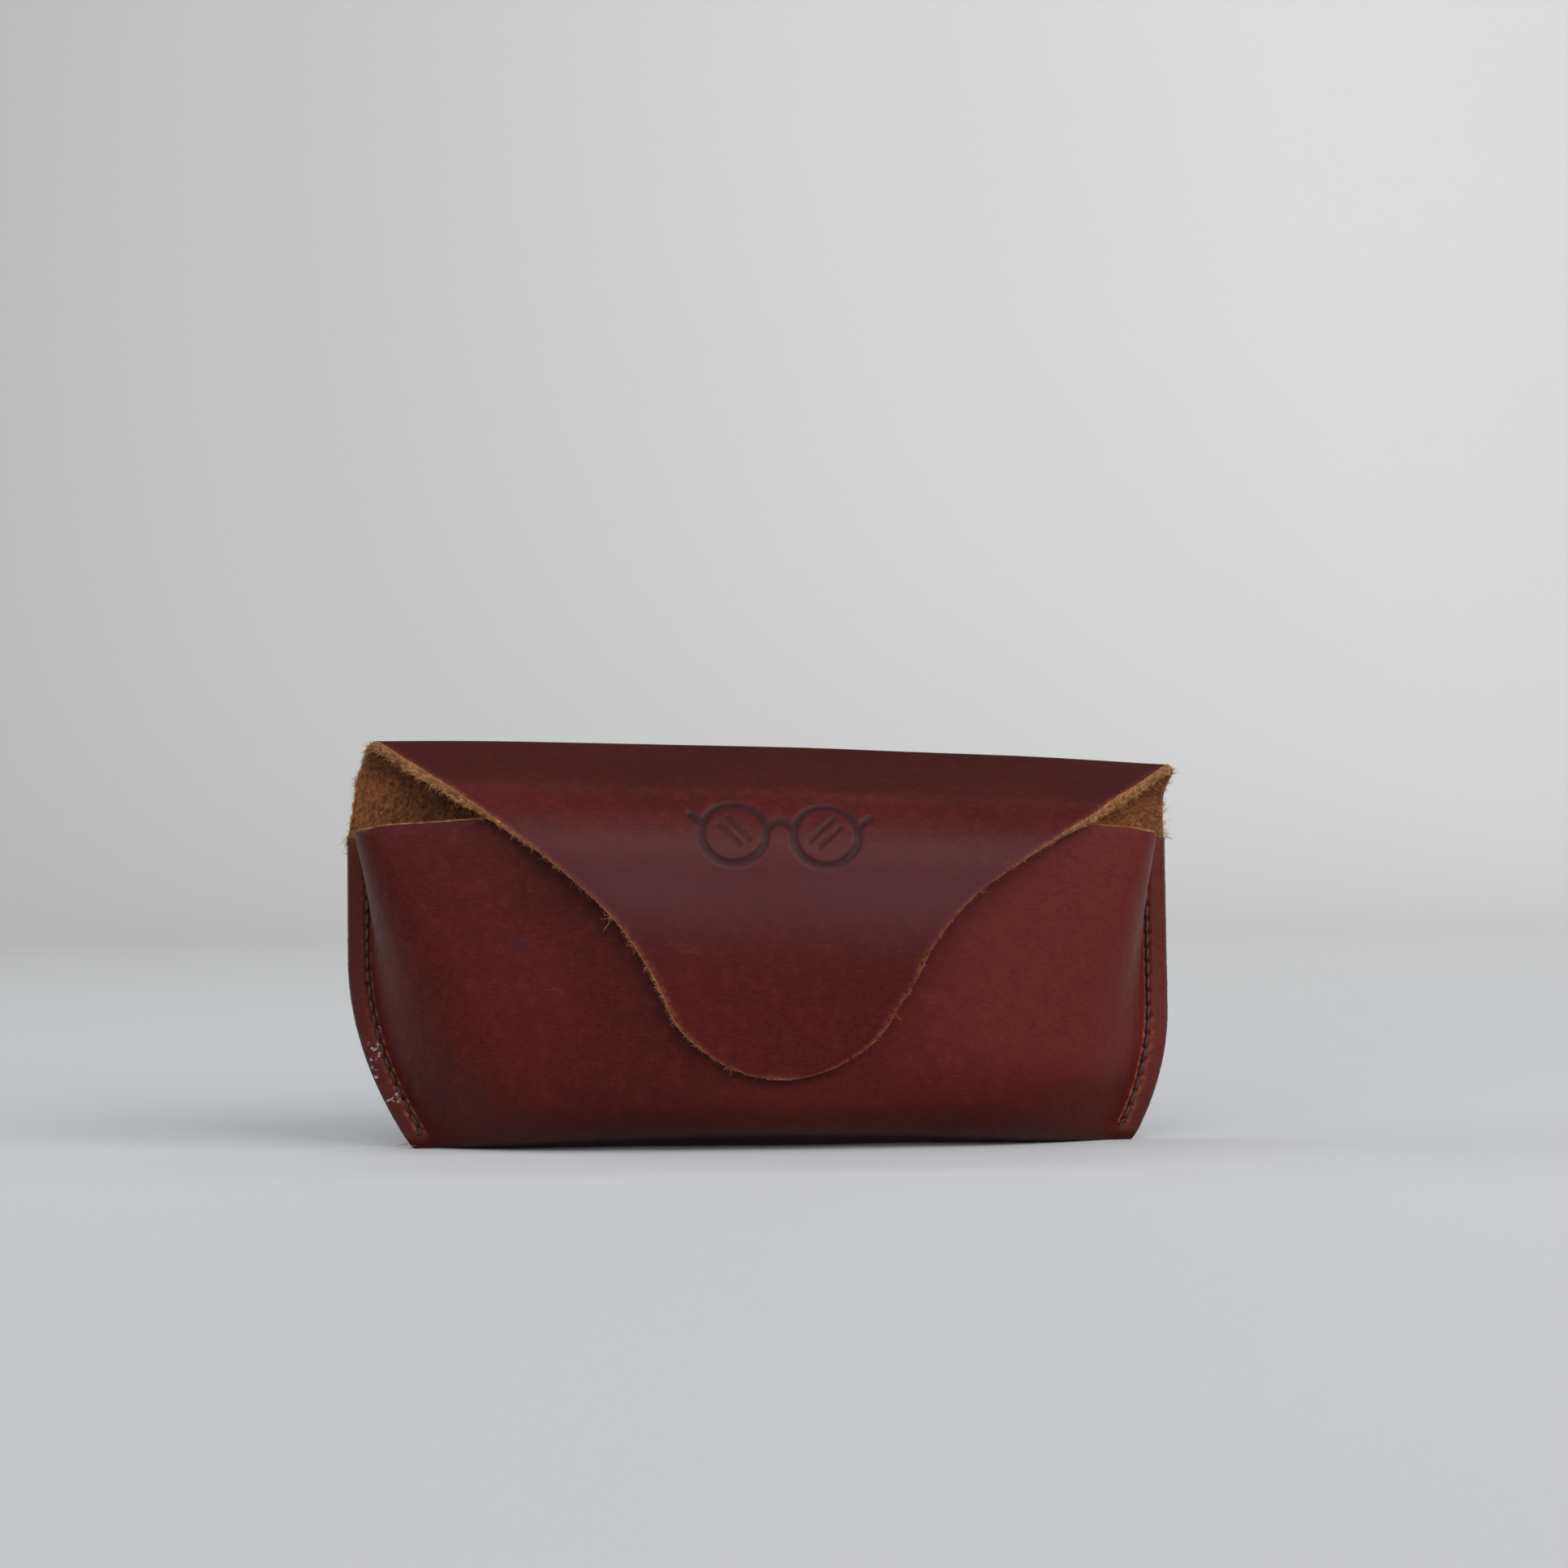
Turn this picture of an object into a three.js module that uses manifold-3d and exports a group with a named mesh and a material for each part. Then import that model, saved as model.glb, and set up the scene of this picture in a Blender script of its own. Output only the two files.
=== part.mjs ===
// Leather spectacles case: one blank of 2.1 mm leather folded into an upright pouch with a
// tongue-shaped flap, its two sides saddle-stitched through a flat flange.
// Millimetres, +Z up, front facing -Y, +X to the right.
// The blank is divided at its own folds, so that the flap can open about the roll at the top of the back.
import * as THREE from 'three';
import Module from 'manifold-3d';
import { mergeVertices } from 'three/addons/utils/BufferGeometryUtils.js';

// ---- leather and joints between its panels ----
const LEATHER = 2.1; // thickness of the blank
const GAP = 0.3; // clearance between neighbouring panels
const LAYERS = 2 * LEATHER + GAP; // both layers of a stitched flange

// ---- stance in the frame: the case leans back a little, and the frame's origin is under its middle ----
const LEAN = 0.075; // backward shift for each mm of height
const FRAME_X = -1.05;
const FRAME_Y = 15.75;

// ---- flange: half-width above, how far it is drawn in at the bottom corner, and from what height ----
const FLANGE = {
  left: { sign: -1, reach: 86, tuck: 13.3, from: 40 },
  right: { sign: 1, reach: 86.6, tuck: 7.9, from: 28 },
};
const FLANGE_WIDTH = 5.4;
const SEAM_TOP = 64.5;

// ---- pouch: front corners, front face and bottom ----
const CORNER = { // half-width at z = 0, and how much it grows for each mm of height
  left: { low: 69.9, flare: 0.213 },
  right: { low: 73.4, flare: 0.14 },
};
const OVERHANG = { bottom: -7, top: 7.3 }; // most that a front corner stands out past the foot of its wall
const CORNER_ROUND = { top: 7, bottom: 38 };
const CORNER_PULL = 14; // how far the corner is drawn in at the bottom, where the front meets the flange
const WALL_KNEE = { top: 0.45, bottom: 0.75 }; // share of the depth lost where the wall turns to its foot
const MOUTH_Z = 66;
const MOUTH_DEPTH = 34.3; // back face to front corner at the mouth
const TAPER = { depth: 13, power: 1.6 };
const BOW = { top: 1.2, bottom: 3 }; // swell of the front between its corners
const CORNER_RISE = 2; // the top edge climbs along the side wall
const MIDDLE_RISE = 0.6; // and a little more along the front
const MOUTH_TILT = 0.013; // the right end of the top edge is lower
const FOLD_ROUND = { flange: 2.35, middle: 10 }; // outer radius of the bottom fold
const FOLD_TURN = 85; // the fold stops just short of upright on each side
const ARCH = { height: 2.8, half: 74 }; // the bottom rises off the table between the corners

// ---- flap: grain side in profile from the top of the back, as [length, turn in degrees] ----
const ROLL_RADIUS = 8;
const ROLL_TURN = 109;
const ROLL_Z = 74.2;
const BEND_RADIUS = 14;
const BEND_TURN = 85;
const ROOF = 23; // flat stretch between the roll and the bend
const FLAP_PATH = [
  [ROLL_RADIUS * THREE.MathUtils.degToRad(ROLL_TURN), ROLL_TURN],
  [ROOF, 0],
  [BEND_RADIUS * THREE.MathUtils.degToRad(BEND_TURN), BEND_TURN],
  [45, 0],
];
const SLANT = THREE.MathUtils.degToRad(2.1); // the roll is higher at the left
const SLANT_Z = 40;
const HINGES = [28, 84]; // roll angles, in degrees, where the fold divides
// half-width of the blank against the length along the flap
const FLAP_HALF_WIDTH = [
  [0, 85.3], [10, 84.6], [15, 82.5], [30, 74.3], [43, 65.6], [50, 56.7], [58, 45.8],
  [66, 36.8], [74, 30.7], [84, 25.3], [92, 20.9], [97.5, 15], [101, 8.3], [102.6, 2.4],
];
const FLAP_TIP = 102.6;
const TONGUE_ROWS = [64, 70, 76, 82, 88, 92, 95.5, 98, 100, 101.4, FLAP_TIP]; // closer at the rounded tip
// the tongue is cut a little to the right of the middle
const FLAP_AXIS = [[0, 0], [10, 2], [60, 2], [80, 3.9], [FLAP_TIP, 3.9]];

// ---- seam ----
const STITCH_INSET = 4.2;
const STITCH_PITCH = 3;
const STITCHES = 19;
const STITCH_START = 4.4; // height of the lowest hole
const THREAD = 0.8;
const HOLE = THREAD + 2 * GAP;

const WELD = 0.01; // slivers thinner than this are removed after a cut

const LEATHER_COLOUR = 0x5a1f1b;
const THREAD_COLOUR = 0x3a2230;

const wasm = await Module();
wasm.setup();

// ---- helpers ----
const { lerp, smoothstep, degToRad } = THREE.MathUtils;

function interpolate(table, at) {
  let k = 1;
  while (k < table.length - 1 && table[k][0] < at) {
    k += 1;
  }
  const [a, from] = table[k - 1];
  const [b, to] = table[k];
  return lerp(from, to, THREE.MathUtils.clamp((at - a) / (b - a), 0, 1));
}

const outlinePoints = FLAP_HALF_WIDTH.map(([q, half]) => new THREE.Vector3(q, half, 0));
const outlineCurve = new THREE.CatmullRomCurve3(outlinePoints);
const OUTLINE = outlineCurve.getPoints(200).map((p) => [p.x, p.y]);

// From the case's own upright coordinates to the frame: leaning back.
function stand(p) {
  return new THREE.Vector3(p.x + FRAME_X, p.y + LEAN * p.z + FRAME_Y, p.z);
}

// A closed shell between an outer and an inner grid of points, both rows x columns.
function shell(outer, inner) {
  const rows = outer.length;
  const cols = outer[0].length;
  const at = (layer, i, j) => (layer * rows + i) * cols + j;
  const positions = [outer, inner].flat(2).map(stand).flatMap((p) => [p.x, p.y, p.z]);
  const index = [];
  const quad = (a, b, c, d) => index.push(a, b, c, a, c, d);
  for (let i = 0; i < rows - 1; i += 1) {
    for (let j = 0; j < cols - 1; j += 1) {
      quad(at(0, i, j), at(0, i, j + 1), at(0, i + 1, j + 1), at(0, i + 1, j));
      quad(at(1, i, j), at(1, i + 1, j), at(1, i + 1, j + 1), at(1, i, j + 1));
    }
    quad(at(0, i, 0), at(0, i + 1, 0), at(1, i + 1, 0), at(1, i, 0));
    quad(at(0, i, cols - 1), at(1, i, cols - 1), at(1, i + 1, cols - 1), at(0, i + 1, cols - 1));
  }
  for (let j = 0; j < cols - 1; j += 1) {
    quad(at(0, 0, j), at(1, 0, j), at(1, 0, j + 1), at(0, 0, j + 1));
    quad(at(0, rows - 1, j), at(0, rows - 1, j + 1), at(1, rows - 1, j + 1), at(1, rows - 1, j));
  }
  const geometry = new THREE.BufferGeometry();
  geometry.setAttribute('position', new THREE.Float32BufferAttribute(positions, 3));
  geometry.setIndex(index);
  return facingOut(geometry);
}

function facingOut(geometry) {
  const p = geometry.getAttribute('position');
  const index = geometry.getIndex().array;
  const [a, b, c] = [new THREE.Vector3(), new THREE.Vector3(), new THREE.Vector3()];
  let volume = 0;
  for (let k = 0; k < index.length; k += 3) {
    a.fromBufferAttribute(p, index[k]);
    b.fromBufferAttribute(p, index[k + 1]);
    c.fromBufferAttribute(p, index[k + 2]);
    volume += a.dot(b.cross(c));
  }
  if (volume < 0) {
    index.reverse();
  }
  return geometry;
}

// The flesh side: every grain point moved in along the normal, taken from its neighbours in the grid.
function fleshSide(grain, inward) {
  const rows = grain.length;
  const cols = grain[0].length;
  return grain.map((row, i) => row.map((p, j) => {
    const across = row[Math.min(j + 1, cols - 1)].clone().sub(row[Math.max(j - 1, 0)]);
    const along = grain[Math.min(i + 1, rows - 1)][j].clone().sub(grain[Math.max(i - 1, 0)][j]);
    return p.clone().addScaledVector(across.cross(along).normalize(), inward * LEATHER);
  }));
}

function steps(from, to, count) {
  return Array.from({ length: count + 1 }, (_, k) => lerp(from, to, k / count));
}

function toSolid(geometry) {
  const bare = new THREE.BufferGeometry();
  bare.setAttribute('position', geometry.getAttribute('position').clone());
  bare.setIndex(geometry.getIndex());
  const merged = mergeVertices(bare, 1e-4);
  const vertProperties = new Float32Array(merged.getAttribute('position').array);
  const triVerts = new Uint32Array(merged.getIndex().array);
  return new wasm.Manifold(new wasm.Mesh({ numProp: 3, vertProperties, triVerts }));
}

function toGeometry(solid) {
  const mesh = solid.simplify(WELD).getMesh();
  const geometry = new THREE.BufferGeometry();
  geometry.setAttribute('position', new THREE.BufferAttribute(mesh.vertProperties, 3));
  geometry.setIndex(new THREE.BufferAttribute(mesh.triVerts, 1));
  return geometry;
}

// ---- pouch surface ----
function flangeEdge(side, z) {
  const { reach, tuck, from } = FLANGE[side];
  const low = Math.max(0, 1 - z / from);
  return reach - tuck * low * low;
}

function frontDepth(z) {
  const low = Math.max(0, 1 - z / MOUTH_Z);
  return MOUTH_DEPTH - TAPER.depth * low ** TAPER.power;
}

// Half of a level section of the front, from the middle (0) over the corner to the foot of the
// side wall (1) and out along the flange (2): half-width x and depth y behind which the leather lies.
const FRONT_SHARE = 0.5; // up to here the section is the front face, then the rounded corner and the wall
const WALL_START = FRONT_SHARE + 0.01; // leaves a gap beside the front panel
const WALL_COLUMNS = [0.6, 0.68, 0.76, 0.84, 0.92, 1];
function section(side, c, z) {
  const depth = frontDepth(z);
  const foot = flangeEdge(side, z) - FLANGE_WIDTH;
  const overhang = lerp(OVERHANG.bottom, OVERHANG.top, z / MOUTH_Z);
  const corner = Math.min(CORNER[side].low + CORNER[side].flare * z, foot + overhang);
  const share = Math.min(1, z / MOUTH_Z);
  const round = lerp(CORNER_ROUND.bottom, CORNER_ROUND.top, share ** 0.7);
  if (c >= 1) {
    return { x: foot + (c - 1) * FLANGE_WIDTH, y: LAYERS };
  }
  if (c <= FRONT_SHARE) {
    const t = c / FRONT_SHARE;
    const bow = lerp(BOW.bottom, BOW.top, share);
    return { x: t * (corner - round), y: depth + bow * (1 - t * t) };
  }
  const wall = new THREE.CubicBezierCurve(
    new THREE.Vector2(corner - round, depth),
    new THREE.Vector2(corner + 1 - CORNER_PULL * (1 - share) ** 1.5, depth),
    new THREE.Vector2(corner + 1, lerp(depth, LAYERS, lerp(WALL_KNEE.bottom, WALL_KNEE.top, share))),
    new THREE.Vector2(foot, LAYERS),
  );
  const p = wall.getPoint((c - FRONT_SHARE) / (1 - FRONT_SHARE));
  return { x: p.x, y: p.y };
}

// How much a column belongs to the deep middle (1) rather than to the flat flange (0).
function middleness(c) {
  return 1 - smoothstep(c, FRONT_SHARE, 1);
}

function foldRadius(c) {
  return lerp(FOLD_ROUND.flange, FOLD_ROUND.middle, middleness(c));
}

function mouthHeight(sign, c) {
  const wall = 1 - smoothstep(c, FRONT_SHARE, 1);
  const front = 1 - smoothstep(c, 0.3, FRONT_SHARE + 0.1);
  const tilt = sign * MOUTH_TILT * Math.min(c / FRONT_SHARE, 1) * MOUTH_Z;
  return SEAM_TOP + CORNER_RISE * wall + MIDDLE_RISE * front - tilt;
}

// Front and walls above the fold: u runs 0 at the fold to 1 at the top edge.
function frontPoint(side, c, u) {
  const { sign } = FLANGE[side];
  const z = lerp(foldRadius(c), mouthHeight(sign, c), u);
  const { x, y } = section(side, c, z);
  return new THREE.Vector3(sign * x, -y, z);
}

// Bottom fold: turn runs -90 at the back panel, 0 at the table, 90 at the front.
// The inset goes in from the grain side.
function foldPoint(side, c, turn, inset) {
  const radius = foldRadius(c);
  const angle = degToRad(turn);
  const half = section(side, c, radius).y / 2;
  const x = FLANGE[side].sign * section(side, c, radius * (1 - Math.cos(angle))).x;
  const arch = ARCH.height * Math.max(0, 1 - (x / ARCH.half) ** 2) ** 1.5;
  const y = -half - (half - inset) * Math.sin(angle);
  return new THREE.Vector3(x, y, radius - (radius - arch - inset) * Math.cos(angle));
}

// Columns across the whole pouch, from one c on the left to another on the right.
function acrossFront(limit, count) {
  return steps(-limit, limit, count).map((s) => [s < 0 ? 'left' : 'right', Math.abs(s)]);
}

function bottomFold() {
  const left = [2, 1.5, ...[...WALL_COLUMNS].reverse()].map((c) => ['left', c]);
  const right = [...left].reverse().map(([, c]) => ['right', c]);
  const columns = [...left, ...acrossFront(FRONT_SHARE, 12), ...right];
  const turns = steps(-FOLD_TURN, FOLD_TURN, 10);
  const layer = (inset) => turns.map((turn) => columns.map(([side, c]) => foldPoint(side, c, turn, inset)));
  return shell(layer(0), layer(LEATHER));
}

function frontPanel() {
  const columns = acrossFront(FRONT_SHARE, 14);
  const grain = steps(0.012, 1, 9).map((u) => columns.map(([side, c]) => frontPoint(side, c, u)));
  return shell(grain, fleshSide(grain, -1));
}

function sideWall(side) {
  const columns = [WALL_START, 0.55, ...WALL_COLUMNS, 1.5, 2];
  const grain = steps(0.012, 1, 9).map((u) => columns.map((c) => frontPoint(side, c, u)));
  return shell(grain, fleshSide(grain, -FLANGE[side].sign));
}

// ---- back panel, roll and flap, all on one profile ----
function profile(q) {
  let [y, z, heading, left] = [0, ROLL_Z, Math.PI / 2, q];
  for (const [length, turn] of FLAP_PATH) {
    const run = q < 0 ? q : Math.min(left, length);
    const bend = q < 0 ? 0 : degToRad(turn) * (run / length);
    const chord = bend ? (2 * run * Math.sin(bend / 2)) / bend : run;
    y += chord * Math.cos(heading + bend / 2);
    z += chord * Math.sin(heading + bend / 2);
    heading += bend;
    left -= run;
    if (q < 0 || left <= 0) {
      break;
    }
  }
  return { y, z, normalY: Math.sin(heading), normalZ: -Math.cos(heading) };
}

function slanted(x, y, z) {
  const up = z - SLANT_Z;
  const [cos, sin] = [Math.cos(SLANT), Math.sin(SLANT)];
  return new THREE.Vector3(x * cos + up * sin, y, SLANT_Z - x * sin + up * cos);
}

function flapPoint(t, q, depth) {
  const { y, z, normalY, normalZ } = profile(q);
  const x = interpolate(FLAP_AXIS, q) + t * interpolate(OUTLINE, q);
  return slanted(x, y - normalY * depth, z - normalZ * depth);
}

function flapStrip(lengths, columns) {
  const layer = (depth) => lengths.map((q) => columns.map((t) => flapPoint(t, q, depth)));
  return shell(layer(0), layer(LEATHER));
}

function rollLength(angle) {
  return ROLL_RADIUS * degToRad(angle);
}

function flapFold() {
  const [from, to] = HINGES.map(rollLength);
  return flapStrip(steps(from + GAP / 2, to - GAP / 2, 4), steps(-1, 1, 8));
}

function flap() {
  const start = rollLength(HINGES[1]) + GAP / 2;
  const roofStart = rollLength(ROLL_TURN);
  const bendStart = roofStart + ROOF;
  const bendEnd = bendStart + FLAP_PATH[2][0];
  const lengths = [
    ...steps(start, roofStart, 2),
    ...steps(roofStart, bendStart, 3).slice(1),
    ...steps(bendStart, bendEnd, 9).slice(1),
    ...TONGUE_ROWS,
  ];
  return flapStrip(lengths, steps(-1, 1, 12));
}

function backPanel() {
  const half = [2, ...[...WALL_COLUMNS].reverse(), FRONT_SHARE, 0.25];
  const left = [...half, 0].map((c) => ['left', c]);
  const columns = [...left, ...[...half].reverse().map((c) => ['right', c])];
  const low = (side, c) => section(side, c, foldRadius(c)).x;
  const high = (side, c) => (c > 1 ? flangeEdge(side, SEAM_TOP) - (2 - c) * FLANGE_WIDTH
    : (low(side, c) / low(side, 1)) * section(side, 1, SEAM_TOP).x);
  const layer = (depth) => {
    const flat = steps(0, 1, 6).map((u) => columns.map(([side, c]) => {
      const z = lerp(foldRadius(c) + GAP, SEAM_TOP, u);
      const x = c < 1 ? lerp(low(side, c), high(side, c), u) : section(side, c, z).x;
      return new THREE.Vector3(FLANGE[side].sign * x, -depth, z);
    }));
    const share = (side, c) => (FLANGE[side].sign * high(side, c)) / flangeEdge(side, SEAM_TOP);
    const roll = steps(0, rollLength(HINGES[0]) - GAP / 2, 2)
      .map((q) => columns.map(([side, c]) => flapPoint(share(side, c), q, depth)));
    return [...flat, ...roll];
  };
  return shell(layer(0), layer(LEATHER));
}

// ---- seams ----
function squareRod(from, to, width) {
  const axis = to.clone().sub(from);
  const rod = new THREE.BoxGeometry(width, width, axis.length());
  const up = new THREE.Vector3(0, 0, 1);
  rod.applyQuaternion(new THREE.Quaternion().setFromUnitVectors(up, axis.normalize()));
  rod.translate(...from.clone().add(to).multiplyScalar(0.5).toArray());
  return rod;
}

// Stitch holes from the bottom up, on the middle plane of the flange.
function holes(side) {
  return steps(0, STITCHES, STITCHES).map((k) => {
    const z = STITCH_START + k * STITCH_PITCH;
    return new THREE.Vector3(FLANGE[side].sign * (flangeEdge(side, z) - STITCH_INSET), -LAYERS / 2, z);
  });
}

function through(hole, reach, width) {
  const end = new THREE.Vector3(0, reach, 0);
  return toSolid(squareRod(stand(hole.clone().sub(end)), stand(hole.clone().add(end)), width));
}

function withHoles(geometry, side) {
  const cut = (solid, hole) => solid.subtract(through(hole, LAYERS, HOLE));
  return toGeometry(holes(side).reduce(cut, toSolid(geometry)));
}

// One waxed thread: a run of stitches on each face, joined through every hole.
function seamThread(side) {
  const path = holes(side);
  const inner = LAYERS / 2 + GAP;
  const moved = (p, dx, dy) => p.clone().add(new THREE.Vector3(dx, dy, 0));
  const ribbon = (dy) => path.map((p) => [-THREAD / 2, THREAD / 2].map((dx) => moved(p, dx, dy)));
  const runs = [-1, 1].map((face) => shell(ribbon(face * inner), ribbon(face * (inner + THREAD))));
  const links = path.map((hole) => through(hole, inner + THREAD / 2, THREAD));
  return toGeometry(runs.map(toSolid).concat(links).reduce((whole, piece) => whole.add(piece)));
}

// ---- assembly ----
const matte = (color, roughness) => new THREE.MeshStandardMaterial({ color, roughness, metalness: 0 });
const leather = () => matte(LEATHER_COLOUR, 0.5);
const thread = () => matte(THREAD_COLOUR, 0.7);

const spectaclesCase = new THREE.Group();

function place(name, geometry, material) {
  const mesh = new THREE.Mesh(geometry, material);
  mesh.name = name;
  spectaclesCase.add(mesh);
}

const back = ['left', 'right'].reduce((panel, side) => withHoles(panel, side), backPanel());
place('back_panel', back, leather());
place('bottom_fold', bottomFold(), leather());
place('front_panel', frontPanel(), leather());
place('flap_fold', flapFold(), leather());
place('flap', flap(), leather());
for (const side of ['left', 'right']) {
  place(`side_wall_${side}`, withHoles(sideWall(side), side), leather());
  place(`seam_thread_${side}`, seamThread(side), thread());
}

export default spectaclesCase;
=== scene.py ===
# The leather spectacles case as it looks: one blank of leather with its grain, suede side, raw edges
# and stitches. The surfaces repeat the case's formulas in millimetres; MM turns them into metres.
import math

import bpy
import numpy as np
from mathutils import Matrix, Vector


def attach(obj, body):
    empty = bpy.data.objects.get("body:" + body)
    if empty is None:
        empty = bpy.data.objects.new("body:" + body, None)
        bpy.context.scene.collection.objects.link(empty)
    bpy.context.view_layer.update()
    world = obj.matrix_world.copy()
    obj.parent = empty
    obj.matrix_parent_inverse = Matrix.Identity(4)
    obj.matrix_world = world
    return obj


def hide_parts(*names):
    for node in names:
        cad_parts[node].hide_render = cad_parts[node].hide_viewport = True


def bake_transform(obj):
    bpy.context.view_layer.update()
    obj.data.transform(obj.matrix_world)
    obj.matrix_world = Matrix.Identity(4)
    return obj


MM = 0.001
rng = np.random.default_rng(7)

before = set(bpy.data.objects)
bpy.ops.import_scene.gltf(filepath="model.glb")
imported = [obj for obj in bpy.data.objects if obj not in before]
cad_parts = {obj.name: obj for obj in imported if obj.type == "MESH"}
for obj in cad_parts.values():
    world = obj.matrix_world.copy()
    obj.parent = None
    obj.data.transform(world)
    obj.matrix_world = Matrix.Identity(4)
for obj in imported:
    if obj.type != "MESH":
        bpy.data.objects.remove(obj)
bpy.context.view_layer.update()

# ---- the blank and its folds, in mm ----
LEATHER = 2.1
LAYERS = 4.5  # both layers of a stitched flange
LEAN = 0.075
FRAME_X = -1.05
FRAME_Y = 15.75
FLANGE_REACH = {-1: 86.0, 1: 86.6}
FLANGE_TUCK = {-1: 13.3, 1: 7.9}
FLANGE_FROM = {-1: 40.0, 1: 28.0}
FLANGE_WIDTH = 5.4
SEAM_TOP = 64.5
CORNER_LOW = {-1: 69.9, 1: 73.4}
CORNER_FLARE = {-1: 0.213, 1: 0.14}
OVERHANG = (-7.0, 7.3)
CORNER_ROUND = (38.0, 7.0)
CORNER_PULL = 14.0
WALL_KNEE = (0.75, 0.45)
MOUTH_Z = 66.0
MOUTH_DEPTH = 34.3
TAPER_DEPTH = 13.0
TAPER_POWER = 1.6
BOW = (3.0, 1.2)
CORNER_RISE = 2.0
MIDDLE_RISE = 2.2
MOUTH_TILT = 0.013
FOLD_ROUND = (2.35, 10.0)
ARCH_HEIGHT = 2.8
ARCH_HALF = 74.0
ARCH_TURN = (-0.30, 0.20)  # turn of the fold, in radians, from where it lies on the table to the full bow
ROLL_RADIUS = 8.0
ROLL_TURN = math.radians(109)
ROLL_Z = 74.2
ROOF = 23.0
BEND_RADIUS = 14.0
BEND_TURN = math.radians(85)
SLANT = math.radians(2.1)
SLANT_Z = 40.0
CROWN = 1.3  # rise of the roll in its middle
CROWN_HALF = 86.0
CROWN_FROM = 64.0  # heights where the rise starts and is full
CROWN_FULL = 80.0
FLAP_HALF_WIDTH = [
    (0, 85.3), (10, 84.6), (15, 82.5), (30, 74.3), (43, 65.6), (50, 56.7), (58, 45.8),
    (66, 36.8), (74, 30.7), (84, 25.3), (92, 20.9), (97.5, 15), (101, 8.3), (102.6, 2.4),
]
FLAP_TIP = 102.6
FLAP_AXIS = [(0, 0), (10, 2), (60, 2), (80, 3.9), (FLAP_TIP, 3.9)]
FOLD_PART = ROLL_RADIUS * math.radians(56)  # where the leather of the two hinges meets
FOLD_END = ROLL_RADIUS * math.radians(112)  # where the second hinge ends
STITCH_INSET = 4.2
STITCH_PITCH = 3.0
STITCHES = 19
STITCH_START = 4.4
THREAD_RADIUS = 0.37
THREAD_TAILS = 2
TAIL_RADIUS = 0.25

# cut edge of the leather from the grain side to the flesh side, as (depth, inset)
RIM = [(0, 0.4), (0.1, 0.18), (0.35, 0.05), (1.1, 0), (1.8, 0.03), (LEATHER, 0.18)]
RAGGED = 0.07  # roughness of an undyed cut
DYED_RAGGED = 0.02  # and of a dyed one
TABLE_CLEARANCE = 0.02  # nothing hangs lower than this


# ---- small maths ----
def lerp(a, b, t):
    return a + (b - a) * t


def smooth(x, low, high):
    t = np.clip((x - low) / (high - low), 0, 1)
    return t * t * (3 - 2 * t)


def by_side(table, s):
    return np.where(s < 0, table[-1], table[1])


def unit(v):
    return v / np.maximum(np.linalg.norm(v, axis=-1, keepdims=True), 1e-9)


def xyz(x, y, z):
    return np.stack(np.broadcast_arrays(x, y, z), axis=-1).astype(float)


def stand(p):
    """From the case's own upright coordinates to the frame, still in mm."""
    x, y, z = p[..., 0], p[..., 1], p[..., 2]
    bow = CROWN * np.maximum(0, 1 - (x / CROWN_HALF) ** 2)
    return xyz(x + FRAME_X, y + LEAN * z + FRAME_Y, z + bow * smooth(z, CROWN_FROM, CROWN_FULL))


def spaced(stops):
    """Numbers from stop to stop, as [(from, step), ..., (to, None)]."""
    out = []
    for (a, step), (b, _) in zip(stops, stops[1:]):
        out.extend(np.linspace(a, b, max(1, round((b - a) / step)), endpoint=False))
    out.append(stops[-1][0])
    return np.array(out)


def catmull(points, samples):
    """A smooth curve through points, as a dense table."""
    p = np.array(points, float)
    p = np.vstack([2 * p[0] - p[1], p, 2 * p[-1] - p[-2]])
    out = []
    for k in range(1, len(p) - 2):
        d0 = np.linalg.norm(p[k] - p[k - 1]) ** 0.5
        d1 = np.linalg.norm(p[k + 1] - p[k]) ** 0.5
        d2 = np.linalg.norm(p[k + 2] - p[k + 1]) ** 0.5
        m1 = (p[k] - p[k - 1]) / d0 - (p[k + 1] - p[k - 1]) / (d0 + d1) + (p[k + 1] - p[k]) / d1
        m2 = (p[k + 1] - p[k]) / d1 - (p[k + 2] - p[k]) / (d1 + d2) + (p[k + 2] - p[k + 1]) / d2
        for t in np.linspace(0, 1, samples, endpoint=False):
            h = (
                2 * t**3 - 3 * t**2 + 1,
                (t**3 - 2 * t**2 + t) * d1,
                3 * t**2 - 2 * t**3,
                (t**3 - t**2) * d1,
            )
            out.append(h[0] * p[k] + h[1] * m1 + h[2] * p[k + 1] + h[3] * m2)
    out.append(p[-2])
    return np.array(out)


OUTLINE = catmull(FLAP_HALF_WIDTH, 24)


def half_width(q):
    return np.interp(q, OUTLINE[:, 0], OUTLINE[:, 1])


def axis_shift(q):
    return np.interp(q, [a for a, _ in FLAP_AXIS], [b for _, b in FLAP_AXIS])


def ripple(x, v):
    """Slow swell of hand-worked leather, in mm, over the blank."""
    swell = np.sin(x / 9.1 + 1.7 * np.sin(v / 15.3)) + np.sin(v / 7.3 + 1.3 * np.sin(x / 12.7 + 2))
    return 0.055 * swell + 0.05 * np.sin(x / 21 - v / 17)


# ---- pouch surface ----
# s is the column, -2 to 2: 0 at the middle, 1 at the foot of a side wall and 2 at the flange's edge.
def flange_edge(s, z):
    low = np.maximum(0, 1 - z / by_side(FLANGE_FROM, s))
    return by_side(FLANGE_REACH, s) - by_side(FLANGE_TUCK, s) * low**2


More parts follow.
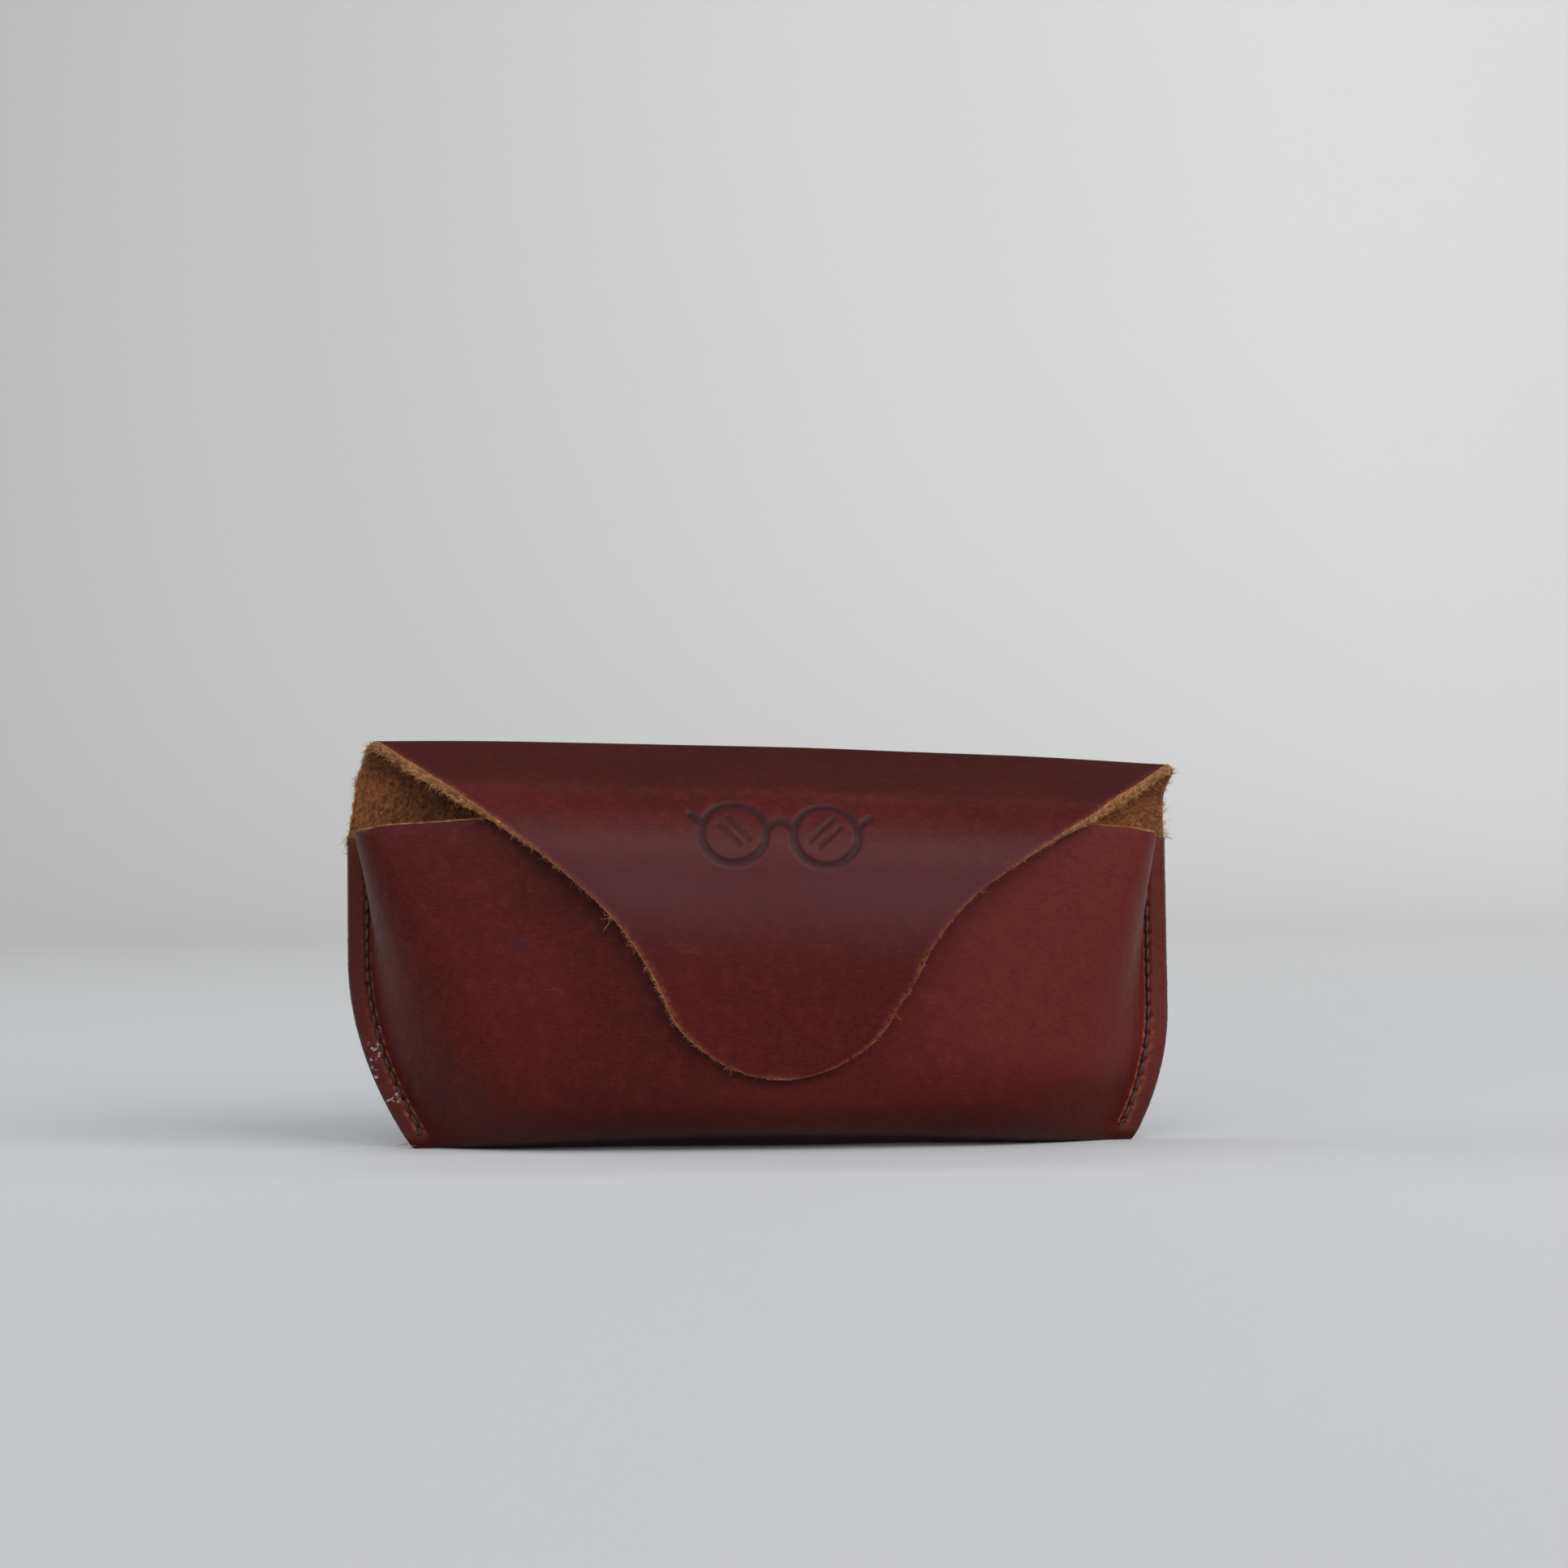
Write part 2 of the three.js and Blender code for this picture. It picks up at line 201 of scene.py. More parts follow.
def section(s, z):
    """Half-width and depth of the front at column s and height z."""
    c = np.abs(s)
    share = np.clip(z / MOUTH_Z, 0, 1)
    depth = MOUTH_DEPTH - TAPER_DEPTH * (1 - share) ** TAPER_POWER
    foot = flange_edge(s, z) - FLANGE_WIDTH
    flared = by_side(CORNER_LOW, s) + by_side(CORNER_FLARE, s) * z
    corner = np.minimum(flared, foot + lerp(*OVERHANG, z / MOUTH_Z))
    rounding = lerp(*CORNER_ROUND, share**0.7)
    t = np.clip(c / 0.5, 0, 1)
    front = (t * (corner - rounding), depth + lerp(*BOW, share) * (1 - t * t))
    w = np.clip((c - 0.5) / 0.5, 0, 1)
    k = [(1 - w) ** 3, 3 * w * (1 - w) ** 2, 3 * w**2 * (1 - w), w**3]
    pulled = corner + 1 - CORNER_PULL * (1 - share) ** 1.5
    wall = (
        k[0] * (corner - rounding) + k[1] * pulled + k[2] * (corner + 1) + k[3] * foot,
        (k[0] + k[1]) * depth + k[2] * lerp(depth, LAYERS, lerp(*WALL_KNEE, share)) + k[3] * LAYERS,
    )
    flange = (foot + (c - 1) * FLANGE_WIDTH, LAYERS + 0 * foot)
    zones = [c <= 0.5, c < 1]
    x = np.select(zones, [front[0], wall[0]], flange[0])
    return x, np.select(zones, [front[1], wall[1]], flange[1])


def fold_radius(s):
    return lerp(*FOLD_ROUND, 1 - smooth(np.abs(s), 0.5, 1))


def mouth_height(s):
    c = np.abs(s)
    rise = CORNER_RISE * (1 - smooth(c, 0.5, 1)) + MIDDLE_RISE * (1 - smooth(c, 0.3, 0.6))
    return SEAM_TOP + rise - np.sign(s) * MOUTH_TILT * np.minimum(c / 0.5, 1) * MOUTH_Z


def front_rows(s, share):
    z = lerp(mouth_height(s), fold_radius(s), share)
    x, y = section(s, z)
    return xyz(np.sign(s) * x, -y, z)


def fold_rows(s, turn):
    radius = fold_radius(s)
    half = section(s, radius)[1] / 2
    x = np.sign(s) * section(s, radius * (1 - np.cos(turn)))[0]
    arch = ARCH_HEIGHT * np.maximum(0, 1 - (x / ARCH_HALF) ** 2) ** 1.5 * smooth(turn, *ARCH_TURN)
    return xyz(x, -half - half * np.sin(turn), radius - (radius - arch) * np.cos(turn))


def back_rows(s, share):
    """The back panel from the bottom fold to the start of the roll."""
    z = lerp(fold_radius(s), ROLL_Z, share)
    seam = np.minimum(z, SEAM_TOP)
    c = np.abs(s)
    low = section(s, fold_radius(s))[0]
    low_foot = section(np.sign(s) + (s == 0), fold_radius(s))[0]
    high_foot = flange_edge(s, SEAM_TOP) - FLANGE_WIDTH
    high = np.where(c > 1, flange_edge(s, SEAM_TOP) - (2 - c) * FLANGE_WIDTH, low / low_foot * high_foot)
    rise = np.clip((z - fold_radius(s)) / (SEAM_TOP - fold_radius(s)), 0, 1)
    x = np.sign(s) * np.where(c < 1, lerp(low, high, rise), section(s, seam)[0])
    across = np.sign(s) * high / flange_edge(s, SEAM_TOP)
    roll = slanted(axis_shift(0) + across * half_width(0), 0 * z, ROLL_Z + 0 * z)
    above = np.clip((z - SEAM_TOP) / (ROLL_Z - SEAM_TOP), 0, 1)
    risen = lerp(xyz(x, 0 * z, seam), roll, above[..., None])
    return lerp(xyz(x, 0 * z, z), risen, (z > SEAM_TOP)[..., None])


def slanted(x, y, z):
    """Turns a point about the middle of the case, so that the roll is higher at the left."""
    up = z - SLANT_Z
    cos, sin = math.cos(SLANT), math.sin(SLANT)
    return xyz(x * cos + up * sin, y, SLANT_Z - x * sin + up * cos)


# ---- roll and flap, on one profile ----
def profile(q):
    """Grain side of the flap at length q from the top of the back: y, z and heading."""
    q = np.asarray(q, float)
    y, z, heading = np.zeros_like(q), ROLL_Z + 0 * q, math.pi / 2 + 0 * q
    left = q
    lengths = (ROLL_RADIUS * ROLL_TURN, ROOF, BEND_RADIUS * BEND_TURN, FLAP_TIP)
    for length, turn in zip(lengths, (ROLL_TURN, 0, BEND_TURN, 0)):
        run = np.clip(left, 0, length)
        bend = turn * run / length
        chord = run * np.sinc(bend / 2 / math.pi)
        y = y + chord * np.cos(heading + bend / 2)
        z = z + chord * np.sin(heading + bend / 2)
        heading = heading + bend
        left = left - run
    return y, z, heading


def flap_point(x, q, depth=0.0):
    """A point of the flap at x across and q along, sunk by depth from the grain side."""
    y, z, heading = profile(q)
    return slanted(x, y - np.sin(heading) * depth, z + np.cos(heading) * depth)


# ---- emblem: a plain pair of spectacles pressed into the flap ----
EMBLEM_Q = 50.5
LENS_X = 9.4
LENS_RADIUS = 6.6
STROKE = 0.85
PRESS_DEPTH = 0.42
PRESS_THROUGH = 0.35  # share of it that shows below the grain side


def segment_distance(x, y, a, b):
    ax, ay = a
    dx, dy = b[0] - ax, b[1] - ay
    t = np.clip(((x - ax) * dx + (y - ay) * dy) / (dx * dx + dy * dy), 0, 1)
    return np.hypot(x - ax - t * dx, y - ay - t * dy)


def emblem(x, q):
    """How deeply the emblem is pressed, 0 to 1, at x across from its middle and q along the flap."""
    y = EMBLEM_Q - q
    x = np.abs(x)
    lens = np.abs(np.hypot(x - LENS_X, (y + 0.5) * 1.06) - LENS_RADIUS)
    bridge = np.abs(np.hypot(x, y + 0.6) - (LENS_X - LENS_RADIUS))
    bridge = np.where(y > 0.2, bridge, 9)
    temple = segment_distance(x, y, (LENS_X + LENS_RADIUS, 1.6), (18.3, 3.2))
    line = np.minimum(np.minimum(lens, bridge), temple)
    glint = np.minimum(
        segment_distance(x - LENS_X, y, (-3.2, -1.6), (1.4, 3.0)),
        segment_distance(x - LENS_X, y, (-1.2, -2.8), (3.0, 1.4)),
    )
    return np.maximum(1 - smooth(line, STROKE * 0.6, STROKE * 1.3), 0.75 * (1 - smooth(glint, 0.25, 0.7)))


# ---- mesh helpers ----
def quads(rows, cols, first=0, flip=False):
    base = first + np.arange(rows - 1)[:, None] * cols + np.arange(cols - 1)
    corners = [base, base + 1, base + cols + 1, base + cols]
    if flip:
        corners = corners[::-1]
    return np.stack(corners, -1).reshape(-1, 4)


def border(rows, cols):
    """Indices of a grid's border, all the way round."""
    grid = np.arange(rows * cols).reshape(rows, cols)
    return np.concatenate([grid[0], grid[1:, -1], grid[-1, -2::-1], grid[-2:0:-1, 0]])


def make_object(name, points, faces, materials, zones, attributes):
    mesh = bpy.data.meshes.new(name)
    mesh.from_pydata((points * MM).tolist(), [], faces.tolist())
    for key, values in attributes.items():
        kind = "FLOAT_VECTOR" if values.ndim == 2 else "FLOAT"
        data = mesh.attributes.new(key, kind, "POINT").data
        data.foreach_set("vector" if values.ndim == 2 else "value", values.astype(np.float32).ravel())
    for material in materials:
        mesh.materials.append(material)
    mesh.polygons.foreach_set("material_index", zones.astype(np.int32))
    mesh.polygons.foreach_set("use_smooth", np.ones(len(faces), bool))
    mesh.update()
    obj = bpy.data.objects.new(name, mesh)
    bpy.context.scene.collection.objects.link(obj)
    return obj


GRAIN, FLESH, RAW, DYED, FIBRE = range(5)


def leather_parts(layer, blank, marks, dyed, bevel_zone):
    """One sheet of leather. layer(depth, inset) gives its grid of points, and blank its place on the flat
    blank. marks are more numbers for each grid point. dyed tells which border points have a dyed edge, and
    bevel_zone is what shows on the first bevel of the others."""
    rows, cols = blank.shape[:2]
    count = rows * cols
    loop = border(rows, cols)
    layers = [layer(depth, inset).reshape(-1, 3) for depth, inset in RIM]
    rough = np.where(dyed(layers[0][loop]), DYED_RAGGED, RAGGED)[:, None]
    rings = [grid[loop] + rough * rng.normal(size=(len(loop), 3)) for grid in layers[1:-1]]
    points = np.vstack([layers[0], layers[-1], *rings])
    flat = blank.reshape(-1, 3)
    between = [2 * count + k * len(loop) + np.arange(len(loop)) for k in range(len(rings))]
    ring_ids = [loop, *between, loop + count]
    rim = [
        np.stack([a, np.roll(a, -1), np.roll(b, -1), b], -1)[:, ::-1]
        for a, b in zip(ring_ids, ring_ids[1:])
    ]
    faces = np.vstack([quads(rows, cols), quads(rows, cols, count, flip=True), *rim])
    grid_faces = (rows - 1) * (cols - 1)
    edge_zone = np.where(dyed(points[loop]), DYED, RAW)
    bevel = np.where(edge_zone == DYED, DYED, bevel_zone)
    zones = np.concatenate([np.full(grid_faces, GRAIN), np.full(grid_faces, FLESH), bevel,
                            np.tile(edge_zone, len(rim) - 1)])

    def repeat(values):
        return np.concatenate([values, values, *[values[loop]] * len(rings)])

    attributes = {"blank": repeat(flat)}
    for key, values in marks.items():
        attributes[key] = repeat(values.reshape(-1))
    a, b, c = (points[faces[:, k]] for k in range(3))
    if np.sum(np.cross(b - a, c - a) * (a - points.mean(0))) < 0:  # the faces point inward
        faces = faces[:, ::-1]
    return points, faces, zones, attributes


def strands(roots, directions, lengths, widths, curl=0.5):
    """Fine tapering fibres from their roots, as points, faces and the root number of each point."""
    n, rings, sides = len(roots), 5, 3
    along = np.linspace(0, 1, rings)
    side = unit(np.cross(directions, rng.normal(size=(n, 3))))
    other = unit(np.cross(directions, side))
    bend = curl * rng.normal(size=(n, 1)) * side + curl * rng.normal(size=(n, 1)) * other
    wave = rng.uniform(0, 6.28, size=(n, 1, 1))
    path = roots[:, None] + lengths[:, None, None] * (
        directions[:, None] * along[None, :, None]
        + bend[:, None] * (along**2)[None, :, None]
        + 0.12 * side[:, None] * np.sin(along[None, :, None] * 7 + wave) * along[None, :, None]
    )
    angle = np.arange(sides) * 2 * math.pi / sides
    ring = side[:, None] * np.cos(angle)[None, :, None] + other[:, None] * np.sin(angle)[None, :, None]
    radius = widths[:, None] * (1 - 0.8 * along[None])
    points = path[:, :, None] + radius[:, :, None, None] * ring[:, None]
    start = np.arange(n)[:, None, None] * rings * sides + np.arange(rings - 1)[None, :, None] * sides
    here = start + np.arange(sides)[None, None]
    turned = start + (np.arange(sides)[None, None] + 1) % sides
    faces = np.stack([here, turned, turned + sides, here + sides], -1).reshape(-1, 4)
    return points.reshape(-1, 3), faces, np.repeat(np.arange(n), rings * sides)


def with_strands(parts, fuzz):
    """Adds fibres to a sheet, so that they move with it, and gives what make_object needs.
    fuzz is a list of (roots, directions, lengths, widths)."""
    points, faces, zones, attributes = parts
    for roots, directions, lengths, widths in fuzz:
        more, more_faces, owner = strands(roots, directions, lengths, widths)
        faces = np.vstack([faces, more_faces + len(points)])
        points = np.vstack([points, more])
        zones = np.concatenate([zones, np.full(len(more_faces), FIBRE)])
        for key, values in attributes.items():
            extra = more if values.ndim == 2 else np.zeros(len(more))
            attributes[key] = np.concatenate([values, extra])
    points[:, 2] = np.maximum(points[:, 2], TABLE_CLEARANCE)
    return points, faces, LEATHER_MATERIALS, zones, attributes


# ---- node materials ----
class Shader:
    """A node material whose nodes are added by short calls."""

    def __init__(self, name):
        self.material = bpy.data.materials.new(name)
        self.material.use_nodes = True
        self.tree = self.material.node_tree
        self.surface = self.tree.nodes["Principled BSDF"]

    def put(self, socket, value):
        if isinstance(value, bpy.types.NodeSocket):
            self.tree.links.new(value, socket)
        elif value is not None:
            socket.default_value = value

    def add(self, kind, inputs=None, out=0, **settings):
        node = self.tree.nodes.new("ShaderNode" + kind)
        for key, value in settings.items():
            setattr(node, key, value)
        for key, value in (inputs or {}).items():
            self.put(node.inputs[key], value)
        return node.outputs[out]

    def attribute(self, name, out="Fac"):
        return self.add("Attribute", out=out, attribute_name=name)

    def noise(self, vector, scale, detail=4.0, roughness=0.55, distortion=0.0):
        inputs = {"Vector": vector, "Scale": scale, "Detail": detail}
        return self.add("TexNoise", inputs | {"Roughness": roughness, "Distortion": distortion})

    def stretch(self, vector, scale, turn=0.0):
        return self.add("Mapping", {"Vector": vector, "Scale": scale, "Rotation": (0, 0, turn)})

    def span(self, value, low, high, to_low=0.0, to_high=1.0):
        inputs = {"Value": value, "From Min": low, "From Max": high, "To Min": to_low, "To Max": to_high}
        return self.add("MapRange", inputs)

    def maths(self, operation, a, b=None):
        return self.add("Math", {0: a, 1: b}, operation=operation)

    def mix(self, share, a, b):
        node = self.tree.nodes.new("ShaderNodeMix")
        node.data_type = "RGBA"
        for index, value in ((0, share), (6, a), (7, b)):
            self.put(node.inputs[index], value)
        return node.outputs[2]

    def bump(self, height, distance, strength=1.0, normal=None):
        inputs = {"Height": height, "Distance": distance, "Strength": strength, "Normal": normal}
        return self.add("Bump", inputs)

    def finish(self, **sockets):
        for key, value in sockets.items():
            self.put(self.surface.inputs[key.replace("_", " ")], value)
        return self.material


def rgb(r, g, b):
    return (r, g, b, 1.0)


def grain_leather():
    m = Shader("oxblood_grain")
    blank = m.attribute("blank", "Vector")
    cloud = m.noise(blank, 0.022, 4, 0.5, 0.6)
    fine_cloud = m.noise(blank, 0.30, 7, 0.74, 0.2)
    colour = m.mix(m.span(cloud, 0.36, 0.66), rgb(0.036, 0.0027, 0.0026), rgb(0.052, 0.0052, 0.0040))
    # painted light: the front lighter and more orange towards its right side and on the flanges
    colour = m.mix(m.maths("MULTIPLY", m.attribute("warm"), 0.72), colour, rgb(0.082, 0.0118, 0.0080))
    colour = m.mix(m.span(fine_cloud, 0.50, 0.76, 0, 0.36), colour, rgb(0.115, 0.019, 0.008))
    colour = m.mix(m.span(fine_cloud, 0.47, 0.30, 0, 0.4), colour, rgb(0.020, 0.0036, 0.0042))
    fibrous = m.noise(m.stretch(blank, (0.55, 1.9, 1), 0.06), 1.0, 5, 0.75)
    colour = m.mix(m.span(fibrous, 0.50, 0.72, 0, 0.38), colour, rgb(0.090, 0.018, 0.011))
    colour = m.mix(m.span(fibrous, 0.48, 0.30, 0, 0.5), colour, rgb(0.018, 0.0034, 0.0042))
    # painted sheen: a purple-grey reflection band across the flap
    colour = m.mix(m.maths("MULTIPLY", m.attribute("bloom"), 0.75), colour, rgb(0.062, 0.0190, 0.0225))
    # painted shade: the front darker towards its bottom, the bottom fold, and the flap just below the roll
    colour = m.mix(m.maths("MULTIPLY", m.attribute("shade"), 0.45), colour, rgb(0.030, 0.0034, 0.0034))
    spots = m.noise(blank, 0.11, 2, 0.4)
    colour = m.mix(m.span(spots, 0.70, 0.76, 0, 0.5), colour, rgb(0.026, 0.008, 0.012))
    scratch_place = m.span(m.noise(blank, 0.05, 2), 0.52, 0.68)
    scratch = m.span(m.noise(m.stretch(blank, (0.05, 1.1, 1), 0.25), 1.0, 3, 0.6), 0.66, 0.74)
    scratched = m.maths("MULTIPLY", m.maths("MULTIPLY", scratch, scratch_place), 0.35)
    colour = m.mix(scratched, colour, rgb(0.16, 0.045, 0.02))
    pore = m.add("TexVoronoi", {"Vector": blank, "Scale": 1.7, "Randomness": 1.0})
    colour = m.mix(m.span(pore, 0.0, 0.25, 0.25, 0), colour, rgb(0.03, 0.007, 0.007))
    burnish = m.span(m.noise(blank, 1.1, 4, 0.7), 0.3, 0.7, 0.45, 0.85)
    colour = m.mix(m.maths("MULTIPLY", m.attribute("press"), burnish), colour, rgb(0.014, 0.0065, 0.0085))
    worn = m.maths("MULTIPLY", m.attribute("worn"), m.span(m.noise(blank, 0.9, 4), 0.35, 0.6))
    colour = m.mix(worn, colour, rgb(0.20, 0.050, 0.022))
    fleck = m.span(m.noise(blank, 1.1, 3, 0.7), 0.54, 0.62)
    flecks = m.maths("MULTIPLY", fleck, m.span(m.noise(blank, 0.21, 2), 0.56, 0.62))
    colour = m.mix(m.maths("MULTIPLY", m.attribute("scuff"), flecks), colour, rgb(0.42, 0.36, 0.36))
    # rim: darker near the dyed edges, the dye's own colour, and painted shade along the underside of the
    # bottom fold
    colour = m.mix(m.attribute("rim"), colour, rgb(0.018, 0.006, 0.007))
    cells = m.stretch(blank, (1, 1.25, 1))
    grain = m.add("TexVoronoi", {"Vector": cells, "Scale": 1.35, "Randomness": 0.95})
    wrinkle = m.noise(blank, 0.55, 6, 0.7, 0.8)
    normal = m.bump(m.maths("ADD", grain, m.maths("MULTIPLY", wrinkle, 1.2)), 0.00004, 0.55)
    normal = m.bump(m.noise(blank, 0.09, 3, 0.5), 0.0006, 0.35, normal)
    rough = m.span(m.noise(blank, 0.2, 5, 0.7), 0.3, 0.7, 0.40, 0.56)
    return m.finish(Base_Color=colour, Roughness=rough, Normal=normal, Specular_IOR_Level=0.09)


def suede(name, dark, light, nap, strength):
    m = Shader(name)
    blank = m.attribute("blank", "Vector")
    nap_noise = m.noise(blank, nap, 7, 0.8, 1.6)
    tuft = m.add("TexVoronoi", {"Vector": blank, "Scale": nap * 1.3})
    cloud = m.noise(blank, 0.1, 3)
    colour = m.mix(m.span(nap_noise, 0.38, 0.63), dark, light)
    colour = m.mix(m.span(cloud, 0.4, 0.7, 0, 0.45), colour, dark)
    normal = m.bump(m.maths("ADD", nap_noise, m.maths("MULTIPLY", tuft, 0.5)), 0.0006, strength)
    return m.finish(Base_Color=colour, Roughness=0.95, Normal=normal, Specular_IOR_Level=0.15,
                    Sheen_Weight=0.08, Sheen_Roughness=0.6, Sheen_Tint=rgb(1, 0.75, 0.5))


def dyed_edge():
    m = Shader("dyed_edge")
    blank = m.attribute("blank", "Vector")
    patch = m.noise(blank, 0.7, 5, 0.7)
    colour = m.mix(m.span(patch, 0.55, 0.75), rgb(0.011, 0.006, 0.007), rgb(0.06, 0.02, 0.014))
    return m.finish(Base_Color=colour, Roughness=0.55, Normal=m.bump(patch, 0.0003, 0.5))


def fibre_hair():
    m = Shader("leather_fibre")
    patch = m.noise(m.attribute("blank", "Vector"), 0.6, 3)
    colour = m.mix(m.span(patch, 0.4, 0.65), rgb(0.20, 0.08, 0.028), rgb(0.52, 0.28, 0.12))
    return m.finish(Base_Color=colour, Roughness=0.85, Specular_IOR_Level=0.2)


def waxed_thread():
    m = Shader("waxed_thread")
    place = m.attribute("blank", "Vector")
    ply = m.noise(place, 2.2, 5, 0.7)
    colour = m.mix(m.span(ply, 0.35, 0.7), rgb(0.014, 0.005, 0.008), rgb(0.062, 0.020, 0.028))
    normal = m.bump(ply, 0.0001, 0.7)
    return m.finish(Base_Color=colour, Roughness=0.5, Normal=normal, Specular_IOR_Level=0.25)


LEATHER_MATERIALS = [
    grain_leather(),
    suede("suede_flesh", rgb(0.045, 0.013, 0.005), rgb(0.40, 0.135, 0.043), 0.85, 1.0),
    suede("raw_edge", rgb(0.095, 0.034, 0.012), rgb(0.42, 0.180, 0.066), 1.3, 1.0),
    dyed_edge(),
    fibre_hair(),
]


# ---- pouch: front, walls, flanges, bottom fold and back in one sheet ----
def relaxed(grid, axis, weight, rounds):
    """Smooths a grid along one axis where weight says."""
    g = np.moveaxis(grid.copy(), axis, 0)
    w = np.moveaxis(weight[..., None], axis, 0)
    for _ in range(rounds):
        g[1:-1] += w[1:-1] * 0.5 * (0.5 * (g[:-2] + g[2:]) - g[1:-1])
    return np.moveaxis(g, 0, axis)


def grid_normals(grid):
    """Normals of the pouch, turned so that the front's point out to -Y."""
    normal = unit(np.cross(np.gradient(grid, axis=1), np.gradient(grid, axis=0)))
    return normal if normal[10, grid.shape[1] // 2, 1] <= 0 else -normal


def pouch_leather():
    half = spaced([(0, 0.009), (0.5, 0.016), (0.92, 0.008), (1.0, 0.04), (1.92, 0.08), (2.0, None)])
    s = np.concatenate([-half[:0:-1], half])[None, :]
    down = spaced([(0, 0.009), (0.97, 0.006), (1, None)])[:, None]
    turn = np.linspace(math.pi / 2, -math.pi / 2, 44)[1:, None]
    up = spaced([(0, 0.008), (0.98, 0.002), (1, None)])[1:, None]
    front, fold, back = front_rows(s, down), fold_rows(s, turn), back_rows(s, up)
    grid = np.vstack([front, fold, back])
    rows, cols = grid.shape[:2]
    row = np.arange(rows)[:, None] + 0 * s
    fold_start, fold_end = len(down), len(down) + len(turn)

    def near(at, reach):
        return np.clip(1 - np.abs(row - at) / reach, 0, 1)

    soft = np.clip(1.5 * (near(fold_start, 16) + near(fold_end, 12)), 0, 1) * (np.abs(s) < 1.3)
    grid = relaxed(grid, 0, soft, 60)
    crease = np.clip(1.4 - np.abs(np.abs(s) - 1) / 0.16, 0, 1) + 0 * row
    grid = relaxed(grid, 1, crease * (row < fold_end), 14)
    normal = grid_normals(grid)
    step = np.linalg.norm(np.diff(grid, axis=1), axis=2)
    middle = cols // 2
    arc = np.concatenate([np.zeros((rows, 1)), np.cumsum(step, axis=1)], axis=1)
    across = arc - arc[:, middle:middle + 1]
    length = np.concatenate([[0], np.cumsum(np.linalg.norm(np.diff(grid[:, middle], axis=0), axis=1))])
    v = (length - length[-1])[:, None] + 0 * s
    blank = xyz(across, v, 0 * v)
    # the seam: a groove with pricked holes on both faces of a flange
    c = np.abs(s) + 0 * row
    off = (c - 1) * FLANGE_WIDTH - (FLANGE_WIDTH - STITCH_INSET)
    z = grid[..., 2]
    hole = np.clip(np.round((z - STITCH_START) / STITCH_PITCH), 0, STITCHES)
    from_hole = np.hypot(off, z - STITCH_START - hole * STITCH_PITCH)
    panels = (row < fold_start) | (row > fold_end)
    on_seam = (c > 1) * smooth(z, 1.5, 4) * (1 - smooth(z, 61.4, 63.5)) * panels
    sunk = on_seam * (0.32 * np.exp(-((off / 0.62) ** 2)) + 0.75 * np.exp(-((from_hole / 0.55) ** 2)))
    rubbed = 0.45 + 0.55 * smooth(-z, -40, -15)
    round_holes = 0.8 * np.exp(-(((from_hole - 0.7) / 0.6) ** 2))
    worn = on_seam * rubbed * (0.3 * np.exp(-((off / 1.2) ** 2)) + round_holes)
    low_corner = (c > 1.05) * (row < fold_start)
    rim = smooth(c, 1.90, 1.98) * (z < SEAM_TOP)
    # painted shade: darker along the underside of the bottom fold, where it rests on the table
    bottom = smooth(-np.abs(row - (fold_start + fold_end) / 2), -9, -2) * 0.8
    # painted light: lighter towards the right of the front and above its bottom, and on the flanges
    lit = smooth(across, 12, 52) * smooth(z, 6, 24)
    marks = {
        "press": 0 * c,
        "worn": np.clip(worn, 0, 1),
        "scuff": low_corner * (s < 0) * smooth(-z, -32, -20),
        "rim": np.clip(rim + bottom, 0, 1),
        "warm": (row < fold_start) * np.maximum(lit, 0.7 * smooth(c, 0.98, 1.1)),
        "bloom": 0 * c,
        # painted shade: the front darker towards its bottom, and the whole bottom fold
        "shade": (row < fold_start) * (1 - smooth(z, 4, 20)) + (row >= fold_start) * (row <= fold_end),
    }
    swell = ripple(across, v) * smooth(2 - c, 0, 0.9)
    inward_rows, inward_cols = np.zeros_like(grid), np.zeros_like(grid)
    inward_rows[0] = unit(grid[2] - grid[0])
    inward_cols[:, 0] = unit(grid[:, 1] - grid[:, 0])
    inward_cols[:, -1] = unit(grid[:, -2] - grid[:, -1])

    def layer(depth, inset):
        shift = swell - depth - (sunk if depth == 0 else 0)
        return stand(grid + normal * shift[..., None] + inset * (inward_rows + inward_cols))

    def dyed(p):
        return (np.abs(p[:, 0]) > 60) & (p[:, 2] < SEAM_TOP - 1)

    parts = leather_parts(layer, blank, marks, dyed, GRAIN)
    top = layer(LEATHER * 0.5, 0)
    fuzz = []
    # a worn nap along the mouth of the front, and on the sides of the back panel above the seams
    n = 260
    pick = rng.integers(2, cols - 2, n)
    roots = top[0, pick] + rng.normal(0, 0.45, (n, 3)) * (1, 1, 0.1)
    away = unit(rng.normal(0, 0.6, (n, 3)) + (0, 0, 0.7))
    fuzz.append((roots, away, rng.gamma(2, 0.16, n), rng.uniform(0.02, 0.035, n)))
    for end, sign in ((0, -1), (cols - 1, 1)):
        rows_above = np.flatnonzero((z[:, end] > SEAM_TOP - 3) & (row[:, 0] > fold_end))
        n = 230
        pick = rng.choice(rows_above, n)
        roots = top[pick, end] + rng.normal(0, 0.4, (n, 3)) * (0.2, 1, 1)
        away = unit(rng.normal(0, 0.55, (n, 3)) + (sign * 0.9, -0.2, -0.1))
        fuzz.append((roots, away, rng.gamma(2, 0.26, n), rng.uniform(0.04, 0.075, n)))
        # a tuft at the top of the seam
        n = 46
        tip = stand(xyz(sign * (flange_edge(sign, SEAM_TOP) - 0.4), -2.4, SEAM_TOP - 0.6))
        roots = tip + rng.normal(0, 0.7, (n, 3))
        away = unit(rng.normal(0, 0.6, (n, 3)) + (sign * 0.8, -0.2, 0.5))
        fuzz.append((roots, away, rng.gamma(2.4, 0.34, n), rng.uniform(0.05, 0.085, n)))
